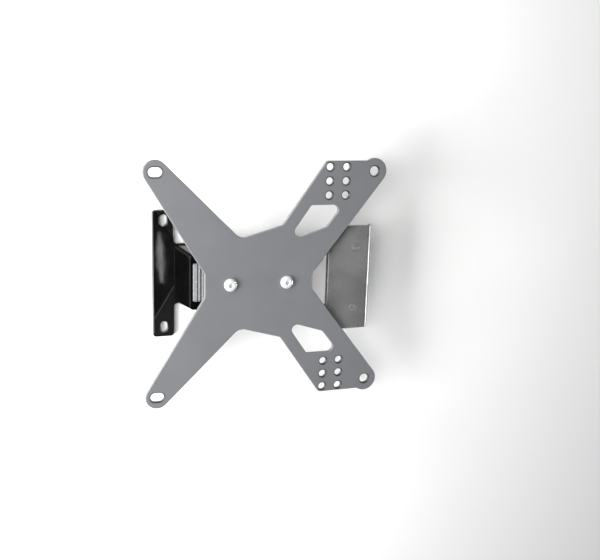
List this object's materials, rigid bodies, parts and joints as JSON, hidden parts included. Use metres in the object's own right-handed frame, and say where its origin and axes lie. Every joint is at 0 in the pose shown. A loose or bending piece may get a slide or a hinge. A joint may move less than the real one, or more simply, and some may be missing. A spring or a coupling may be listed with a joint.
{
  "type": "motorcycle license plate holder",
  "caption": "X-shaped number plate carrier bolted with a lower bracket onto a folded T-shaped tail arm that holds a small plate lamp.",
  "frame": {"origin": "midway between the tail arm's two slots, on the underside of its cross strip", "axes": "+X runs from the tail towards the foot of the number plate, +Y across it, +Z out of the carrier plate's face"},
  "size_m": [0.178, 0.179, 0.0477],
  "materials": {
    "plate_coat": "mid-grey powder coat, satin gloss",
    "bracket_coat": "darker grey powder coat, satin gloss",
    "arm_coat": "black, high gloss",
    "screw_steel": "bright stainless steel",
    "zinc_steel": "zinc plated",
    "nylon": "blue nylon",
    "lamp_case": "black moulded plastic, high gloss",
    "lamp_clear": "clear fluted plastic",
    "lamp_rubber": "matt rubber",
    "lamp_board_white": "white board",
    "lamp_chip": "yellow phosphor"
  },
  "bodies": {
    "root": {"carrier_plate": "plate_coat", "lower_bracket": "bracket_coat", "bracket_studs": "zinc_steel", "tail_arm": "arm_coat", "plate_screws": "screw_steel", "plate_washers": "zinc_steel", "plate_nuts": "zinc_steel", "plate_nut_rings": "nylon", "lamp_housing": "lamp_case", "lamp_lens": "lamp_clear", "lamp_gasket": "lamp_rubber", "lamp_board": "lamp_board_white", "lamp_chips": "lamp_chip", "lamp_screws": "screw_steel", "lamp_washers": "zinc_steel", "lamp_grommet": "lamp_rubber"}
  },
  "joints": []
}
